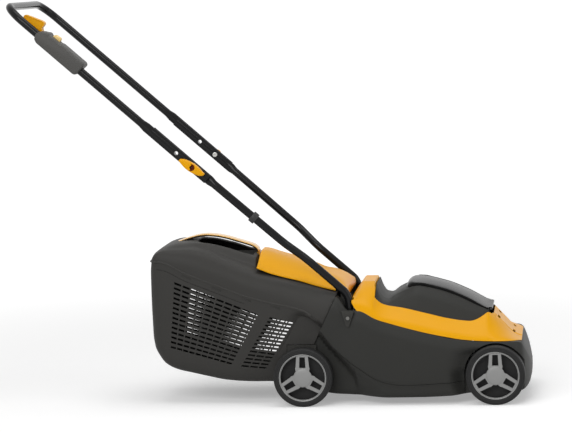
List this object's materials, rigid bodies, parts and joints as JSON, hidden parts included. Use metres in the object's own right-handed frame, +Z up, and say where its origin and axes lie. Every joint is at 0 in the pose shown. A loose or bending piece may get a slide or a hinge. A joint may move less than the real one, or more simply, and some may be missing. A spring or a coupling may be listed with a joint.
{
  "type": "cordless lawn mower",
  "caption": "Battery rotary lawn mower with a yellow motor cover, dark deck, rear grass catcher under a hinged flap, and a folding tubular push handle with a start lever.",
  "frame": {"origin": "middle of the mower's box at ground level, where the wheels stand", "axes": "+X to the mower's front, +Y to its left side, +Z up"},
  "size_m": [1.2266, 0.447, 0.9757],
  "materials": {
    "deck_plastic": "fine-grained dark grey plastic",
    "catcher_plastic": "fine-grained dark grey plastic",
    "yellow_plastic": "glossy yellow-orange plastic",
    "lid_plastic": "glossy dark grey plastic",
    "tube_paint": "glossy black powder coat on steel tube",
    "wheel_plastic": "matte black hard plastic",
    "trim_plastic": "satin mid grey plastic",
    "switch_plastic": "matte dark grey plastic",
    "button_plastic": "pale yellow plastic",
    "inner_plastic": "black plastic",
    "zinc_steel": "zinc-plated steel",
    "blade_steel": "dark hardened steel",
    "motor_metal": "dark coated can",
    "contact_brass": "bare brass",
    "board_laminate": "green laminate",
    "key_plastic": "orange plastic"
  },
  "bodies": {
    "chassis": {"deck": "deck_plastic", "motor_cowl": "yellow_plastic", "battery_hood": "deck_plastic", "cover_screw_1": "zinc_steel", "cover_screw_2": "zinc_steel", "cover_screw_3": "zinc_steel", "cover_screw_4": "zinc_steel", "lid_pin": "zinc_steel", "battery_tray": "inner_plastic", "battery_pack": "inner_plastic", "terminal_block": "contact_brass", "key_socket": "inner_plastic", "safety_key": "key_plastic", "control_board": "board_laminate", "motor": "motor_metal", "motor_screw_1": "zinc_steel", "motor_screw_2": "zinc_steel", "lower_handle_right": "tube_paint", "lower_handle_left": "tube_paint", "handle_screw_right": "zinc_steel", "handle_screw_left": "zinc_steel", "fold_bolt_right": "zinc_steel", "fold_bolt_left": "zinc_steel", "cable_clip": "inner_plastic", "flap_pin": "zinc_steel", "flap_spring": "zinc_steel"},
    "rotor": {"motor_shaft": "zinc_steel", "blade_carrier": "inner_plastic", "cutting_blade": "blade_steel", "blade_bolt": "zinc_steel"},
    "rear_axle_set": {"rear_axle": "zinc_steel", "rear_retainer_right": "zinc_steel", "rear_retainer_left": "zinc_steel"},
    "rear_right_wheel": {"rear_wheel_right": "wheel_plastic", "rear_trim_right": "trim_plastic"},
    "rear_left_wheel": {"rear_wheel_left": "wheel_plastic", "rear_trim_left": "trim_plastic"},
    "front_axle_set": {"front_axle": "zinc_steel", "front_retainer_right": "zinc_steel", "front_retainer_left": "zinc_steel"},
    "front_right_wheel": {"front_wheel_right": "wheel_plastic", "front_trim_right": "trim_plastic"},
    "front_left_wheel": {"front_wheel_left": "wheel_plastic", "front_trim_left": "trim_plastic"},
    "push_handle": {"upper_handle": "tube_paint", "switch_box_outer": "switch_plastic", "switch_box_inner": "switch_plastic", "box_screw_1": "zinc_steel", "box_screw_2": "zinc_steel", "lever_pin": "zinc_steel", "micro_switch": "inner_plastic"},
    "lever": {"start_lever": "yellow_plastic"},
    "button": {"lock_button": "button_plastic"},
    "right_knob": {"wing_knob_right": "yellow_plastic"},
    "left_knob": {"wing_knob_left": "yellow_plastic"},
    "lid": {"battery_lid": "lid_plastic"},
    "flap": {"rear_flap": "yellow_plastic"},
    "catcher": {"catcher_tub": "catcher_plastic", "catcher_top": "catcher_plastic", "catcher_handle": "yellow_plastic"}
  },
  "joints": [
    {"name": "blade_spin", "type": "hinge", "parent": "chassis", "child": "rotor", "pos_m": [0.31829, 0, 0.09], "axis": [0, 0, 1], "continuous": true},
    {"name": "rear_height", "type": "slide", "parent": "chassis", "child": "rear_axle_set", "axis": [0, 0, -1], "range_m": [0, 0.036]},
    {"name": "front_height", "type": "slide", "parent": "chassis", "child": "front_axle_set", "axis": [0, 0, -1], "range_m": [0, 0.036]},
    {"name": "rear_right_roll", "type": "hinge", "parent": "rear_axle_set", "child": "rear_right_wheel", "pos_m": [0.07329, -0.166, 0.07], "axis": [0, 1, 0], "continuous": true},
    {"name": "rear_left_roll", "type": "hinge", "parent": "rear_axle_set", "child": "rear_left_wheel", "pos_m": [0.07329, 0.166, 0.07], "axis": [0, 1, 0], "continuous": true},
    {"name": "front_right_roll", "type": "hinge", "parent": "front_axle_set", "child": "front_right_wheel", "pos_m": [0.52929, -0.166, 0.07], "axis": [0, 1, 0], "continuous": true},
    {"name": "front_left_roll", "type": "hinge", "parent": "front_axle_set", "child": "front_left_wheel", "pos_m": [0.52929, 0.166, 0.07], "axis": [0, 1, 0], "continuous": true},
    {"name": "handle_fold", "type": "hinge", "parent": "chassis", "child": "push_handle", "pos_m": [-0.17071, 0, 0.579], "axis": [0, 1, 0], "range_deg": [0, 167]},
    {"name": "lever_squeeze", "type": "hinge", "parent": "push_handle", "child": "lever", "pos_m": [-0.51934, -0.178, 0.89874], "axis": [0, -1, 0], "range_deg": [0, 12], "stiffness_Nm_per_rad": 0.6, "springref_deg": -11.46},
    {"name": "button_press", "type": "slide", "parent": "push_handle", "child": "button", "axis": [-0.6665, 0, -0.7455], "range_m": [0, 0.004], "stiffness_N_per_m": 800, "springref_m": -0.002},
    {"name": "right_knob_turn", "type": "hinge", "parent": "chassis", "child": "right_knob", "pos_m": [-0.17071, -0.215, 0.579], "axis": [0, 1, 0], "continuous": true},
    {"name": "left_knob_turn", "type": "hinge", "parent": "chassis", "child": "left_knob", "pos_m": [-0.17071, 0.215, 0.579], "axis": [0, 1, 0], "continuous": true},
    {"name": "lid_open", "type": "hinge", "parent": "chassis", "child": "lid", "pos_m": [0.51879, 0, 0.214], "axis": [0, 1, 0], "range_deg": [0, 100]},
    {"name": "flap_lift", "type": "hinge", "parent": "chassis", "child": "flap", "pos_m": [0.17129, 0, 0.262], "axis": [0, 1, 0], "range_deg": [0, 60], "stiffness_Nm_per_rad": 0.25, "springref_deg": -34.38},
    {"name": "catcher_pull", "type": "slide", "parent": "chassis", "child": "catcher", "axis": [-0.9695, 0, 0.2451], "range_m": [0, 0.35]}
  ]
}
